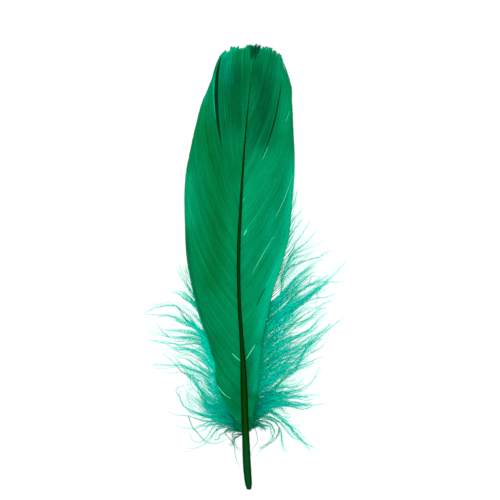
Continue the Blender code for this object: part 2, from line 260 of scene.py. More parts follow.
RIGHT_LOCKS = [
    (8, 0.7, [(0.4, 24.4), (3.5, 26.6), (6.7, 28.4), (9.4, 27), (14.5, 22.2), (19.5, 16.7), (22.3, 14)]),
    (2, 0.3, [(14.5, 22.2), (17.2, 19.2), (20.4, 16.5), (23.2, 14.7), (26, 13.2)]),
    (2, 0.3, [(11.3, 24.6), (14.5, 22.9), (16.8, 22.7), (19.3, 22.2)]),
    (2, 0.3, [(11.8, 24.4), (14.9, 22.7), (17.2, 21.3), (18.6, 19.5), (20.4, 18.3)]),
    (3, 0.4, [(7, 26), (10.4, 24.3), (13.1, 21.5), (15.4, 18.8), (18.6, 17.2), (19.8, 16.4)]),
    (4, 0.5, [(1.5, 24.6), (3.5, 26.1), (6.7, 25), (9.4, 23.8), (10.8, 22), (11.3, 19.7), (12.6, 11.9)]),
    (2, 0.3, [(9.4, 23.8), (10.8, 22), (11.4, 18), (12.6, 14.9), (13.8, 13)]),
    (3, 0.3, [(3, 24.6), (7, 23.6), (9, 21.1), (8.1, 18.1), (5.8, 15.8), (2.6, 13.3), (0.7, 11.4)]),
    (2, 0.3, [(10.8, 22), (10.4, 19.5), (8.1, 17.2), (5.3, 14.9), (1.9, 12.1)]),
    (1, 0.2, [(0.6, 23.6), (1.6, 22.5), (2.8, 19.7), (2.6, 16.7), (1.2, 13.7), (0.5, 11.4)]),
    (3, 0.3, [(6, 29.6), (11.3, 29.8), (12.2, 27.7), (14.6, 26.1), (14, 25.4), (12.4, 26.1)]),
    (3, 0.4, [(5, 29.6), (9.4, 30.7), (12.6, 30), (16.8, 29.1), (20.4, 28.9), (24.1, 30.3), (27.1, 30.7)]),
    (3, 0.5, [(5, 30), (9.4, 30.9), (12.6, 30), (17.2, 29.8), (19.5, 30.3)]),
    (3, 0.4, [(5, 31), (10.4, 32.5), (14.9, 33), (19.5, 33.2), (23.4, 33.7), (26.4, 32.5)]),
    (3, 0.4, [(6, 33), (12.6, 34.8), (18.6, 35.8), (21.9, 37.8), (23.7, 40.6), (25.5, 43.8)]),
    (3, 0.4, [(5.5, 33), (10.8, 35.1), (14.9, 36), (19.3, 38)]),
    (10, 1.1, [(4, 31.5), (9.4, 36.7), (12.6, 39.9), (16.3, 43), (18.2, 46.4), (21.8, 52.3), (29.3, 59.2)]),
    (3, 0.4, [(12, 42), (16, 45.6), (19.2, 48.9), (23.1, 52.7), (27.7, 56.7), (34, 61.7)]),
    (1, 0.3, [(22.2, 48.9), (25, 50.5), (27, 52.3), (28.2, 56.7)]),
    (3, 0.5, [(12, 41.6), (19.7, 44.7), (23.1, 46.1), (26.8, 47)]),
    (6, 0.7, [(6, 45), (11.7, 51.6), (16, 54), (22, 57.6), (25, 60.8), (28.2, 63.5)]),
    (3, 0.5, [(12, 57), (18, 61.4), (25, 65.8), (27.7, 67.2), (30.5, 68.1)]),
    (1, 0.2, [(24.3, 72), (24.4, 68.5), (23.4, 65.8)]),
    (3, 0.4, [(12, 60), (18, 66), (23.1, 68.1), (27.7, 68.8), (31, 70)]),
    (6, 0.5, [(4, 55), (7.1, 59), (10.5, 61.7), (17.6, 65.6), (23.8, 70.9), (27.7, 74.8), (34.2, 81.5)]),
    (3, 0.4, [(9, 60), (13, 64.5), (16.2, 69.5), (20.8, 73), (27.7, 74.6), (34.2, 74.1)]),
    (4, 0.6, [(10.5, 61), (14.3, 64.4), (17.2, 67.2), (18.3, 69.7)]),
    (1, 0.2, [(21, 73), (21.8, 74.6), (22.5, 76.4), (24.5, 76.6), (26.8, 77.3)]),
    (6, 0.5, [(9.5, 64), (11.4, 71), (12.8, 77), (16, 80.5)]),
    (3, 0.6, [(11, 74), (14.4, 79.8), (19.7, 81.7), (25.5, 83.5), (29.8, 85.8)]),
    (3, 0.4, [(11.5, 76), (14.9, 82.1), (20.4, 84.4), (23.8, 86.3)]),
    (2, 0.3, [(12.5, 79), (15.1, 83.5), (19.7, 86), (24.3, 87.9), (27.7, 90.4)]),
    (2, 0.3, [(13.5, 82), (16.2, 85.6), (19.9, 88.1), (22.7, 91.3), (25, 94.1)]),
    (2, 0.2, [(14, 83.5), (16.2, 87.4), (18.5, 90.9), (22, 96.4)]),
    (3, 0.2, [(13.4, 88), (14.4, 91), (17.2, 94.6), (19.2, 97.4)]),
    (3, 0.2, [(13.6, 91), (14.2, 93.4), (16.2, 97.1), (19.2, 101.2)]),
    (4, 0.3, [(13.8, 96), (14.6, 99.1), (16.2, 103.6), (17.2, 107.2)]),
]


def linear(code):
    """An sRGB hex colour as the linear numbers that shaders use."""
    shares = [int(code[i : i + 2], 16) / 255 for i in (1, 3, 5)]
    return tuple(c / 12.92 if c <= 0.04045 else ((c + 0.055) / 1.055) ** 2.4 for c in shares)


def step_lengths(points):
    """Distances between neighbouring points."""
    return np.sqrt((np.diff(points, axis=0) ** 2).sum(axis=1))


def running(steps):
    """The total before the first step and after each one."""
    return np.concatenate([[0], np.cumsum(steps)])


def ramp(at, start, end):
    """0 up to the start, then evenly up to 1 at the end, which may lie on either side."""
    return np.clip((at - start) / (end - start), 0, 1)


def bump(distance, half_width):
    """1 where the distance is 0, falling smoothly to 0 well away."""
    return np.exp(-((distance / half_width) ** 2))


def through(knots, at):
    """A smooth curve through (position, value) knots, read at the given positions."""
    x, y = np.array(knots, float).T
    slope = np.gradient(y, x)
    at = np.asarray(at, float)
    i = np.clip(np.searchsorted(x, at) - 1, 0, len(x) - 2)
    width = x[i + 1] - x[i]
    t = (at - x[i]) / width
    return (
        (2 * t**3 - 3 * t**2 + 1) * y[i]
        + (t**3 - 2 * t**2 + t) * width * slope[i]
        + (3 * t**2 - 2 * t**3) * y[i + 1]
        + (t**3 - t**2) * width * slope[i + 1]
    )


def smooth_line(points, count):
    """The given number of (offset, station) points, evenly spaced on a smooth curve."""
    points = np.array(points, float)
    at = running(step_lengths(points))
    fine = np.linspace(0, at[-1], 200)
    curve = np.stack([through(np.stack([at, points[:, c]], 1), fine) for c in (0, 1)], axis=1)
    lengths = running(step_lengths(curve))
    even = np.linspace(0, lengths[-1], count)
    return np.stack([np.interp(even, lengths, curve[:, c]) for c in (0, 1)], axis=1)


def shaft_radius(station):
    """Half the shaft's thickness at the given stations."""
    return through(SHAFT_RADIUS, station)


def shaft_offset(station):
    """Where the bent shaft's middle lies at the given stations."""
    return through(SHAFT_BEND, station)


def shaft_height(station):
    """The height of the shaft's middle, which lies on the surface at both ends."""
    return shaft_radius(station) + ARCH * np.sin(np.pi * np.asarray(station) / SHAFT_END)


def in_frame(points):
    """Points in millimetres of (offset, station, height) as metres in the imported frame."""
    right = CAD_BOX[0].x / MM + LEFTMOST
    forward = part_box("quill_shaft")[0].y / MM - END_STATION
    return (np.asarray(points, float) + (right, forward, 0.0)) * MM


def sideways(lines):
    """Unit vectors in the plan, square to each line and to the right of its direction."""
    along = np.gradient(lines[..., :2], axis=-2)
    along /= np.maximum(np.linalg.norm(along, axis=-1, keepdims=True), 1e-6)
    return np.stack([along[..., 1], -along[..., 0]], axis=-1)


def near_line(points, line, half_width):
    """1 on the line, falling smoothly to 0 well away from it."""
    gaps = points[..., None, :2] - smooth_line(line, 24)
    return bump(np.sqrt((gaps**2).sum(axis=-1)).min(axis=-1), half_width)


def mixed(a, b, share):
    """Colours a turned towards b by a share between 0 and 1."""
    share = np.clip(share, 0, 1)[..., None]
    return np.asarray(a) * (1 - share) + np.asarray(b) * share


def strand(points, thick, tint, lean=0.0, fluff=0.0):
    """One strand's points, with its thickness, colour, lean and barbule length along them."""
    whole = np.ones(len(points))
    return {
        "points": points,
        "thick": thick * whole,
        "lean": lean * whole,
        "fluff": fluff * whole,
        "tint": tint * whole[:, None],
    }


def by_group(groups, spread, random):
    """One random value for each group of neighbouring barbs."""
    return random.normal(0, spread, groups[-1] + 1)[groups]


def add_node(tree, kind, inputs=None, **settings):
    """One node with its settings, each input set to a value or linked from a socket or node."""
    node = tree.nodes.new(kind)
    for name, value in settings.items():
        setattr(node, name, value)
    for key, value in (inputs or {}).items():
        if isinstance(value, bpy.types.Node):
            value = value.outputs[0]
        if isinstance(value, bpy.types.NodeSocket):
            tree.links.new(value, node.inputs[key])
        else:
            node.inputs[key].default_value = value
    return node


def strand_inputs(tree, barbules):
    """The named inputs of the strand tree, and its one output."""
    lengths = [("Width", 0.3), ("Thickness", 0.1)]
    if barbules:
        lengths += [("Barbule Spacing", 0.3), ("Barbule Length", 1.0), ("Barbule Width", 0.02)]
    rows = [("Geometry", "Geometry", None)]
    rows += [(name, "Float", size * MM) for name, size in lengths]
    rows += [("Sides", "Int", 4), ("Seed", "Int", 1)]
    if barbules:
        rows.append(("Barbule Colour", "Color", None))
    rows.append(("Material", "Material", None))
    face = tree.interface
    for name, kind, default in rows:
        socket = face.new_socket(name, in_out="INPUT", socket_type="NodeSocket" + kind)
        if default is not None:
            socket.default_value = default
    face.new_socket("Geometry", in_out="OUTPUT", socket_type="NodeSocketGeometry")
    return add_node(tree, "NodeGroupInput").outputs


def add_attribute(tree, name, kind="FLOAT"):
    """The named attribute that the guide lines carry."""
    return add_node(tree, "GeometryNodeInputNamedAttribute", {"Name": name}, data_type=kind)


def strand_tree(barbules):
    """Geometry Nodes that turn guide lines into solid strands, with side barbules if asked."""
    tree = bpy.data.node_groups.new("Barbed strands" if barbules else "Strands", "GeometryNodeTree")
    given = strand_inputs(tree, barbules)
    curve = add_node(tree, "GeometryNodeMeshToCurve", {0: given["Geometry"]})
    level = add_node(tree, "GeometryNodeSetCurveNormal", {0: curve}, mode="Z_UP")
    lean = add_attribute(tree, "lean")
    leaning = add_node(tree, "GeometryNodeSetCurveTilt", {0: level, "Tilt": lean})
    ring = add_node(
        tree,
        "GeometryNodeCurvePrimitiveCircle",
        {"Resolution": given["Sides"], "Radius": 0.5},
        mode="RADIUS",
    )
    section = {"X": given["Width"], "Y": given["Thickness"], "Z": 1.0}
    section = add_node(tree, "ShaderNodeCombineXYZ", section)
    profile = add_node(tree, "GeometryNodeTransform", {"Geometry": ring, "Scale": section})
    made = add_node(
        tree,
        "GeometryNodeCurveToMesh",
        {
            "Curve": leaning,
            "Profile Curve": profile,
            "Scale": add_attribute(tree, "thick"),
            "Fill Caps": True,
        },
    )
    if barbules:
        made = add_barbules(tree, given, leaning, made)
    real = add_node(tree, "GeometryNodeRealizeInstances", {0: made})
    coat = {"Geometry": real, "Material": given["Material"]}
    add_node(tree, "NodeGroupOutput", {0: add_node(tree, "GeometryNodeSetMaterial", coat)})
    return tree


def add_barbules(tree, given, curve, strands):
    """Fine three-sided spikes in two rows along the curves, joined to the strands."""

    def random(low, high, step, kind="FLOAT"):
        """A random value for each barbule, from a seed some steps past the given one."""
        seed = add_node(tree, "ShaderNodeMath", {0: given["Seed"], 1: float(step)})
        low_at, high_at, value_at = {"FLOAT": (2, 3, 1), "INT": (4, 5, 2)}[kind]
        inputs = {low_at: low, high_at: high, 8: seed}
        node = add_node(tree, "FunctionNodeRandomValue", inputs, data_type=kind)
        return node.outputs[value_at]

    spaced = {0: curve, "Length": given["Barbule Spacing"]}
    points = add_node(tree, "GeometryNodeCurveToPoints", spaced, mode="LENGTH")
    spike = add_node(
        tree,
        "GeometryNodeMeshCone",
        {"Vertices": 3, "Radius Bottom": given["Barbule Width"], "Depth": given["Barbule Length"]},
        fill_type="NGON",
    )
    fluff = add_attribute(tree, "fluff")
    bare = add_node(tree, "FunctionNodeCompare", {0: fluff, 1: 0.1}, operation="LESS_THAN")
    fluffy = add_node(tree, "GeometryNodeDeleteGeometry", {0: points, 1: bare})
    # Each spike lies in one of two rows, half a turn apart, and leans forward along its barb.
    row = {0: random(0, 1, 3, "INT"), 1: math.pi}
    row = add_node(tree, "ShaderNodeMath", row, operation="MULTIPLY")
    turn = add_node(tree, "ShaderNodeMath", {0: row, 1: random(0.9, 2.24, 5)})
    bend = add_node(tree, "ShaderNodeCombineXYZ", {"X": random(0.5, 1.05, 7), "Z": turn})
    angle = add_node(tree, "FunctionNodeEulerToRotation", {0: bend})
    aim = add_node(
        tree,
        "FunctionNodeRotateRotation",
        {0: points.outputs["Rotation"], 1: angle},
        rotation_space="LOCAL",
    )
    length = {0: fluff, 1: random(0.35, 1.0, 9)}
    length = add_node(tree, "ShaderNodeMath", length, operation="MULTIPLY")
    size = add_node(tree, "ShaderNodeCombineXYZ", {"X": 1.0, "Y": 1.0, "Z": length})
    placed = add_node(
        tree,
        "GeometryNodeInstanceOnPoints",
        {"Points": fluffy, "Instance": spike, "Rotation": aim, "Scale": size},
    )
    real = add_node(tree, "GeometryNodeRealizeInstances", {0: placed})
    own = add_attribute(tree, "tint", "FLOAT_COLOR")
    # Barbules turn paler, partly for their thinness and partly as painted light let through them.
    pale = {0: BARBULE_PALENESS, 6: own, 7: given["Barbule Colour"]}
    pale = add_node(tree, "ShaderNodeMix", pale, data_type="RGBA").outputs[2]
    dyed = add_node(
        tree,
        "GeometryNodeStoreNamedAttribute",
        {"Geometry": real, "Name": "tint", "Value": pale},
        data_type="FLOAT_COLOR",
        domain="POINT",
    )
    # No spike dips below the surface that the feather lies on.
    place = add_node(tree, "GeometryNodeInputPosition")
    x, y, z = add_node(tree, "ShaderNodeSeparateXYZ", {0: place}).outputs
    above = add_node(tree, "ShaderNodeMath", {0: z, 1: 0.02 * MM}, operation="MAXIMUM")
    kept = add_node(tree, "ShaderNodeCombineXYZ", {0: x, 1: y, 2: above})
    raised = add_node(tree, "GeometryNodeSetPosition", {0: dyed, "Position": kept})
    joined = add_node(tree, "GeometryNodeJoinGeometry", {0: strands})
    tree.links.new(raised.outputs[0], joined.inputs[0])
    return joined


def add_object(name, data):
    """An object in the scene's own collection."""
    obj = bpy.data.objects.new(name, data)
    bpy.context.scene.collection.objects.link(obj)
    return obj


def store_tint(mesh, tint):
    """The colour of every point, which the materials read."""
    tint = np.concatenate([tint, np.ones((len(tint), 1))], axis=1).astype(np.float32)
    mesh.attributes.new("tint", "FLOAT_COLOR", "POINT").data.foreach_set("color", tint.ravel())


def guide_object(name, strands):
    """Edges along every strand, with the attributes that the strand tree reads."""
    points = np.concatenate([s["points"] for s in strands])
    edges, at = [], 0
    for s in strands:
        edges += [(at + k, at + k + 1) for k in range(len(s["points"]) - 1)]
        at += len(s["points"])
    mesh = bpy.data.meshes.new(name)
    mesh.from_pydata([tuple(p) for p in in_frame(points)], edges, [])
    for key in STRAND_KEYS:
        values = np.concatenate([s[key] for s in strands]).astype(np.float32)
        mesh.attributes.new(key, "FLOAT", "POINT").data.foreach_set("value", values)
    store_tint(mesh, np.concatenate([s["tint"] for s in strands]))
    return add_object(name, mesh)


def grow(name, strands, tree, inputs, smooth):
    """The named piece: the strands run through the tree, then kept as one plain mesh."""
    for k, s in enumerate(strands):
        count = len(s["points"])
        s["along"] = np.linspace(0.02, 0.98, count)
        s["strip"] = np.full(count, (k + 0.5) / len(strands))
    obj = guide_object(name, strands)
    modifier = obj.modifiers.new("Strands", "NODES")
    modifier.node_group = tree
    for item in tree.interface.items_tree:
        if item.in_out == "INPUT" and item.name in inputs:
            modifier[item.identifier] = inputs[item.name]
    evaluated = obj.evaluated_get(bpy.context.evaluated_depsgraph_get())
    mesh = bpy.data.meshes.new_from_object(evaluated)
    obj.modifiers.remove(modifier)
    obj.data = mesh
    mesh.name = name
    mesh.polygons.foreach_set("use_smooth", np.full(len(mesh.polygons), smooth))
    strip_map(mesh, len(strands))
    return obj


def read_values(items, name, kind):
    """One value of every item, as an array."""
    values = np.zeros(len(items), kind)
    items.foreach_get(name, values)
    return values


def strip_map(mesh, count):
    """A UV map in which each strand has a strip of its own."""
    vertices = read_values(mesh.loops, "vertex_index", np.int32)
    along = read_values(mesh.attributes["along"].data, "value", np.float32)
    strip = read_values(mesh.attributes["strip"].data, "value", np.float32)
    starts = read_values(mesh.polygons, "loop_start", np.int32)
    totals = read_values(mesh.polygons, "loop_total", np.int32)
    corner = np.zeros(len(mesh.loops))
    corner[starts] = -1.0
    corner[starts + totals - 1] = 1.0
    across = strip[vertices] + corner * 0.3 / count
    uv = np.stack([along[vertices], across], axis=1).astype(np.float32)
    mesh.uv_layers.new(name=BAKE_MAP).data.foreach_set("uv", uv.ravel())
    for key in STRAND_KEYS:
        if key in mesh.attributes:
            mesh.attributes.remove(mesh.attributes[key])


def barb_lines(side, barbs, roots, columns):
    """Middle lines of the barbs that leave the shaft at the given stations."""
    first = [b[0] for b in barbs]
    tip_station, tip_offset, bow, lift = (
        through([(f, b[c]) for f, b in zip(first, barbs)], roots)[:, None] for c in (1, 2, 3, 4)
    )
    radius = shaft_radius(roots)[:, None]
    # Up the shaft the barbs leave from its sides, so that the thin rachis stays in sight.
    clear = np.interp(roots, [90, 120], [0.5, 0.95])[:, None]
    root_offset = shaft_offset(roots)[:, None] + side * clear * radius
    root_station = roots[:, None]
    height = shaft_height(roots)[:, None] + 0.25 * radius
    t = np.linspace(0, 1, columns)[None]
    pull = root_offset + bow * (tip_offset - root_offset)
    offset = (1 - t) ** 2 * root_offset + 2 * t * (1 - t) * pull + t**2 * tip_offset
    high = root_station + lift * (tip_station - root_station)
    station = (1 - t) ** 2 * root_station + 2 * t * (1 - t) * high + t**2 * tip_station
    across = np.clip((offset - root_offset) / (tip_offset - root_offset), 0, 1)
    z = np.maximum(height * (1 - across**2), 0.16)
    return np.stack([offset, station, z], axis=-1)


def barb_roots(barbs, count):
    """Stations of the barbs' roots: closer together where the barbs fan out towards the margin."""
    fine = np.linspace(VANE_BASE, VANE_END, 400)
    tips = np.stack([through([(b[0], b[c]) for b in barbs], fine) for c in (1, 2)], axis=1)
    length = running(np.diff(fine) + 1.6 * step_lengths(tips))
    return np.interp(np.linspace(0, length[-1], count), length, fine)


def margin_offset(barbs, station):
    """The offset of a vane's margin at the given stations, up to where the rounded tip starts."""
    knots = [(b[1], b[2]) for b in barbs if b[1] < ROUND_TIP]
    return through(knots, np.clip(station, knots[0][0], knots[-1][0]))


def split_gap(share, start, end):
    """How open a split is along a barb: 0 where it starts and ends, 1 in its wide middle."""
    return np.sin(np.pi * ramp(share, start, end)) ** 0.75


def open_splits(side, lines, roots, splits):
    """Moves barbs apart on either side of each split, most for those nearest to it."""
    share = np.linspace(0, 1, lines.shape[1])[None]
    normal = sideways(lines)
    for root, start, end, width in splits:
        apart = (roots - root)[:, None]
        push = np.sign(apart) * np.exp(-np.abs(apart) / (2.5 + 2 * width)) * width / 2
        push = push * split_gap(share, start, end) * -side
        lines[..., :2] += normal * push[..., None]
    return lines


def near_share(count, columns, random):
    """A short soft stretch at a place of its own along each barb."""
    share = np.linspace(0, 1, columns)[None]
    middle = random.uniform(0.1, 0.95, count)[:, None]
    return bump(share - middle, random.uniform(0.06, 0.2, count)[:, None])


def margin_tint(side, barbs, lines):
    """Change of brightness and towards teal near the margin, where fewer barbs lie on one another, with a
    thin line of painted shade inside the left margin where it curls.
    """
    station = lines[..., 1]
    inside = side * (margin_offset(barbs, station) - lines[..., 0])
    above_down = ramp(station, 46, 58)
    if side > 0:
        rim = bump(inside, 3.0) * above_down * ramp(station, 124, 112)
        return 0.2 * rim, 0.7 * rim
    # A thin line of painted shade just inside the left margin, standing for the shade where the edge curls.
    shade = bump(inside - 0.9, 0.5) * ramp(station, 100, 88) * above_down
    rim = bump(inside, 0.5) * ramp(station, 78, 66)
    return 0.3 * rim - 0.32 * shade, 0.9 * rim


def barb_tint(side, lines, barbs, painted_shading_and_tint, colours, random):
    """Colours along the barbs: soft patches of painted light and shade, then a tone for each barb and
    group.
    """
    count, columns = lines.shape[:2]
    bright = np.ones((count, columns))
    teal = np.zeros((count, columns))
    # Soft patches of painted light and shade, some also shifted towards teal.
    for line, half_width, change, towards in painted_shading_and_tint:
        amount = near_line(lines, line, half_width)
        bright += change * amount
        teal += towards * amount
    brighter, bluer = margin_tint(side, barbs, lines)
    bright += brighter
    teal += bluer
    groups = np.cumsum(random.random(count) < 0.14)
    tone = by_group(groups, 0.055, random) + random.normal(0, 0.09, count)
    knots = np.arange(0, count + 25, 25)
    drift = np.interp(np.arange(count), knots, random.normal(0, 0.03, len(knots)))
    dash = np.repeat(random.normal(0, 0.09, (count, columns // 2 + 1)), 2, axis=1)[:, :columns]
    bright *= 1 + (tone + drift)[:, None] + dash
    # Painted glints: a few barbs lighter and bluer for a short stretch, as if catching the light.
    glint = (random.random(count) < 0.07)[:, None] * near_share(count, columns, random)
    bright += 0.4 * glint
    teal += 0.25 * glint
    # Negative teal turns the barbs towards the vane's colour in painted shade.
    base = mixed(mixed(colours.vane, colours.margin, teal), colours.vane_in_shade, -teal)
    return base * np.clip(bright, 0.2, 2)[..., None]


def vane_strands(side, barbs, splits, painted_shading_and_tint, sizes, colours, random):
    """Every barb of one vane, and the barbs that show in its splits."""
    roots = barb_roots(barbs, sizes.barbs)
    lines = open_splits(side, barb_lines(side, barbs, roots, BARB_POINTS), roots, splits)
    share = np.linspace(0, 1, BARB_POINTS)
    # Groups of barbs end a little beyond or short of the margin, and the tip is ragged.
    groups = np.cumsum(random.random(len(roots)) < 0.16)
    reach = by_group(groups, 0.35, random) + random.normal(0, 0.16, len(roots))
    reach *= np.interp(roots, [60, 112, 130], [0.3, 0.6, 1.0])
    direction = lines[:, -1] - lines[:, -4]
    direction /= np.linalg.norm(direction, axis=1, keepdims=True)
    lines += direction[:, None] * reach[:, None, None] * (share**4)[None, :, None]
    teeth = by_group(groups, 0.2, random) * ramp(lines[:, -1, 1], 154, 157)
    lines[..., 1] += teeth[:, None] * (share**5)[None]
    lines[..., 2] = np.maximum(lines[..., 2], LOWEST)
    tints = barb_tint(side, lines, barbs, painted_shading_and_tint, colours, random)
    # Barbs at the left shoulder of the tip end blunt, so that no light shows between them.
    blunt = np.interp(roots, [86, 95, 118, 128], [0, 1, 1, 0]) * (side < 0)
    strands = []
    for line, tint, b in zip(lines, tints, blunt):
        thick = np.interp(share, [0, 0.1, 0.75, 1], [0.9, 1.0, 0.8 + 0.5 * b, 0.3 + 0.7 * b])
        strands.append(strand(line, thick, tint, lean=side * 0.22))
    for split in splits:
        strands += split_fill(side, barbs, split, colours, random)
    return strands


def split_fill(side, barbs, split, colours, random):
    """Barbs just beneath a split, in painted shade: they show dark through it."""
    root, start, end, width = split
    rows = int(width / 0.16) + 2
    lines = barb_lines(side, barbs, np.full(rows, float(root)), BARB_POINTS)
    share = np.linspace(0, 1, BARB_POINTS)
    spread = np.linspace(-0.5, 0.5, rows)[:, None] * width
    lines[..., :2] += sideways(lines) * (spread * split_gap(share, start, end))[..., None]
    lines[..., 2] = np.maximum(lines[..., 2] - 0.12, 0.06)
    inside = (share >= start - 0.03) & (share <= end + 0.03)
    # Painted shade: these barbs take the colour of barbs in shade.
    shade = np.array(colours.overlap)
    return [strand(line[inside], 0.8, shade * random.uniform(0.85, 1.15)) for line in lines]


def stray_barbs(side, barbs, strays, sizes, colours):
    """Single barbs on top of a vane: pale with a painted highlight where they catch the light, dark with
    painted shade in their own shade.
    """
    surface = barb_lines(side, barbs, np.linspace(VANE_BASE, VANE_END, 160), 40)
    surface = surface.reshape(-1, 3)
    count = 14
    # Painted shade for dark ones, painted highlights for pale and white ones.
    dark = np.array(colours.overlap) * 1.6
    shown = {"dark": dark, "pale": np.array(colours.pale), "white": np.array(colours.bare)}
    taper = np.sin(np.pi * np.linspace(0.08, 0.92, count)) ** 0.6
    strands = []
    for colour, width, points in strays:
        line = smooth_line(points, count)
        gaps = ((line[:, None] - surface[None, :, :2]) ** 2).sum(axis=2)
        height = surface[gaps.argmin(axis=1), 2]
        height = np.interp(np.arange(count), [0, count - 1], [height[0], height[-1]]) + 0.22
        thick = taper * width * MM / sizes.barb_width
        strands.append(strand(np.column_stack([line, height]), thick, shown[colour]))
    return strands


def tip_barbs(tip, colours, random):
    """A small dark fan of barbs over the point where both vanes end, coloured between barbs in shade and
    the vane.
    """
    points, width = tip
    count = 12
    middle = smooth_line(points, count)
    normal = sideways(middle)
    share = np.linspace(0, 1, count)
    thick = np.interp(share, [0, 0.6, 1], [0.5, 0.9, 0.4])
    strands = []
    for place in np.linspace(-0.5, 0.5, 8):
        line = middle + normal * (share * place * width)[:, None]
        line[:, 1] -= share * random.uniform(0, 0.7)
        shade = mixed(colours.overlap, colours.vane, np.array([random.uniform(0.0, 0.5)]))
        strands.append(strand(np.column_stack([line, np.full(count, 0.42)]), thick, shade))
    return strands


def vane_share(side, barbs, line):
    """How far across its vane each point lies: 0 at the shaft, 1 at the margin, more beyond it."""
    root = shaft_offset(line[:, 1]) + side * shaft_radius(line[:, 1])
    reach = np.maximum(side * (margin_offset(barbs, line[:, 1]) - root), 2.0)
    return side * (line[:, 0] - root) / reach


def loose_height(across, station, over):
    """Heights along a loose barb: below or above its vane, then down to lie on the surface."""
    across = np.clip(across, 0, 1)
    lower = np.clip(station - 16 * across, 12, SHAFT_END)
    vane = (shaft_height(lower) + 0.2) * (1 - across**2)
    return np.maximum(vane + 0.25 if over else vane * 0.85 - 0.5, LOWEST)


def past_share(side, barbs, line, first):
    """The part of a line from where it has crossed the given share of its vane."""
    across = vane_share(side, barbs, line)
    start = int(np.argmax(across > first)) if across.max() > first else 0
    return line[min(start, max(len(line) - 6, 0)) :]


def swing(share, length, random):
    """Sideways waves along a loose barb, of a few random lengths, and none at its root."""
    wave = 0.0
    for scale, amount in ((9.0, 0.24), (4.0, 0.1), (2.2, 0.04)):
        turn = 2 * np.pi / (scale * random.uniform(0.8, 1.3))
        wave = wave + amount * np.sin(share * length * turn + random.uniform(0, 2 * np.pi))
    return wave * np.clip(share * 2.5, 0, 1)


def loose_tint(line, share, length, tone, over, colours):
    """Colours along a loose barb: dark at the shaft, in painted shade at its start, then by its tone
    between painted shade and light, and pale at the tip.
    """
    beyond = np.sqrt(((line - line[0]) ** 2).sum(axis=1))
    lit = mixed(colours.down_in_shade, colours.down, np.full(len(line), tone))
    lit = mixed(lit, colours.down_tip, np.clip((share - 0.4) / 0.5, 0, 0.7 + 0.3 * tone))
    tint = mixed(colours.down_in_shade, lit, (beyond - 1.0) / min(9.0, 0.4 * length))
    from_shaft = np.abs(line[:, 0] - shaft_offset(line[:, 1]))
    near = (from_shaft - 1.2) / (12 if line[0, 1] < DENSE_BELOW else 5)
    root = colours.vane if over else colours.down_root
    return mixed(root, tint, np.maximum(near, (beyond - 5) / 8))


def loose_strand(side, barbs, line, width, tone, colours, random, over, fluff, calm):
    """One wavy loose barb along a plan line, with its thickness, colours and barbule lengths."""
    length = step_lengths(line).sum()
    line = smooth_line(line, int(np.clip(length, 8, 24)))
    share = np.linspace(0, 1, len(line))
    line = line + sideways(line) * (calm * swing(share, length, random))[:, None]
    across = vane_share(side, barbs, line)
    height = loose_height(across, line[:, 1], over)
    rise = np.clip((across - 1) * 1.5, 0, 1) * np.sin(np.pi * share**1.6)
    height = height + random.uniform(0.0, 1.6) * rise
    tint = loose_tint(line, share, length, tone, over, colours)
    return strand(
        np.column_stack([line, height]),
        width * np.interp(share, [0, 0.4, 0.85, 1], [1.3, 0.95, 0.6, 0.35]),
        tint * random.uniform(0.88, 1.1),
        fluff=fluff * np.interp(share, [0, 0.15, 0.7, 1], [0.3, 1.0, 0.8, 0.35]) * (across > 0.85),
    )


def fan_lines(side, fan):
    """The plan line of each row of a fan, from its root at the shaft."""
    lines = []
    for root, _, points in fan:
        start = (float(shaft_offset(root) + side * 0.4 * shaft_radius(root)), root)
        lines.append(smooth_line([start, *points], FAN_POINTS))
    return lines


def between_rows(lines, at):
    """The line at a place between two rows of a fan."""
    at = float(np.clip(at, 0, len(lines) - 1.001))
    low = int(at)
    return lines[low] * (1 - at + low) + lines[low + 1] * (at - low)


def part_in_sight(side, barbs, line, root, over, random):
    """The part of a loose barb that shows: on top of its vane, or where it comes out from under."""
    if over:
        first = np.interp(root, [24, 38, 46], [0.0, 0.5, 0.9]) + random.uniform(0, 0.14)
        return past_share(side, barbs, line, first)
    return past_share(side, barbs, line, 0.7) if root > DENSE_BELOW else line


